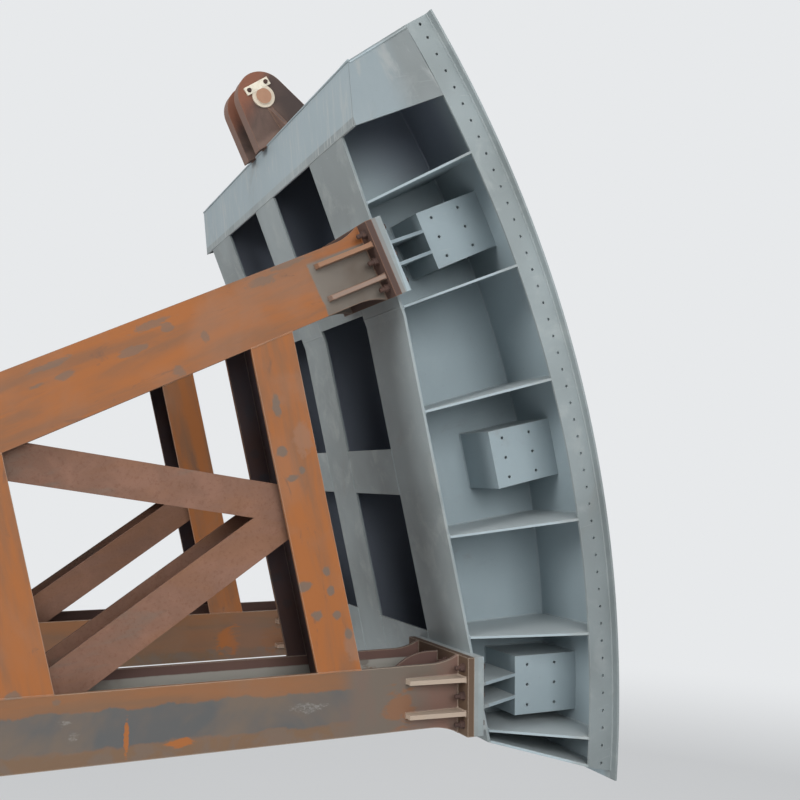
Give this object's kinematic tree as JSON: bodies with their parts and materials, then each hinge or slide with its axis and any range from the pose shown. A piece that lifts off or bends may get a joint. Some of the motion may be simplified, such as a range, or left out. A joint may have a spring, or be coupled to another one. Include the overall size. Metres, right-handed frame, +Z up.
{
  "type": "radial debris discharge gate",
  "caption": "Radial steel gate: curved skin on ribbed girders, two braced arm frames, trunnion brackets and a hoist lug on its top plate.",
  "frame": {"origin": "centre of the near trunnion bracket's flat back face, level with the trunnion axis", "axes": "+X from the trunnions to the leaf, +Y across to the far frame, +Z up"},
  "size_m": [7.0498, 4.06, 4.5972],
  "materials": {
    "leaf_paint": "pale blue-grey coat, brushed and uneven",
    "top_paint": "pale blue-grey coat with pale brushed streaks",
    "arm_primer": "orange primer with bare grey patches and rust",
    "lower_arm_primer": "worn orange primer with a band of blue-grey mill scale",
    "brace_primer": "brown primer, dull",
    "lug_steel": "dark rust",
    "pin_steel": "turned steel, dull",
    "keeper_steel": "cut plate, pale",
    "bracket_paint": "pale blue-grey coat"
  },
  "bodies": {
    "anchorage": {"near_trunnion_pin": "pin_steel", "near_trunnion_bracket": "bracket_paint", "far_trunnion_pin": "pin_steel", "far_trunnion_bracket": "bracket_paint"},
    "gate": {"skin_plate": "leaf_paint", "girder_middle": "leaf_paint", "upper_girder": "leaf_paint", "middle_girder": "leaf_paint", "lower_girder": "leaf_paint", "skin_stiffeners": "leaf_paint", "bottom_plate": "leaf_paint", "top_box": "top_paint", "hoist_lug": "lug_steel", "hoist_pin": "pin_steel", "hoist_keeper": "keeper_steel", "near_side_strip": "leaf_paint", "near_outer_girder": "leaf_paint", "near_side_ribs": "leaf_paint", "near_roller_brackets": "leaf_paint", "near_upper_arm_pad": "leaf_paint", "near_lower_arm_pad": "leaf_paint", "near_upper_arm": "arm_primer", "near_lower_arm": "lower_arm_primer", "near_main_strut": "arm_primer", "near_rear_strut": "arm_primer", "near_mid_brace": "brace_primer", "near_diagonal_brace": "brace_primer", "near_trunnion_hub": "arm_primer", "far_side_strip": "leaf_paint", "far_outer_girder": "leaf_paint", "far_side_ribs": "leaf_paint", "far_roller_brackets": "leaf_paint", "far_upper_arm_pad": "leaf_paint", "far_lower_arm_pad": "leaf_paint", "far_upper_arm": "arm_primer", "far_lower_arm": "lower_arm_primer", "far_main_strut": "arm_primer", "far_rear_strut": "arm_primer", "far_mid_brace": "brace_primer", "far_diagonal_brace": "brace_primer", "far_trunnion_hub": "arm_primer"}
  },
  "joints": [
    {"name": "trunnion_hinge", "type": "hinge", "parent": "anchorage", "child": "gate", "pos_m": [0.55, 1.33, 0], "axis": [0, -1, 0], "range_deg": [-28, 20]}
  ]
}
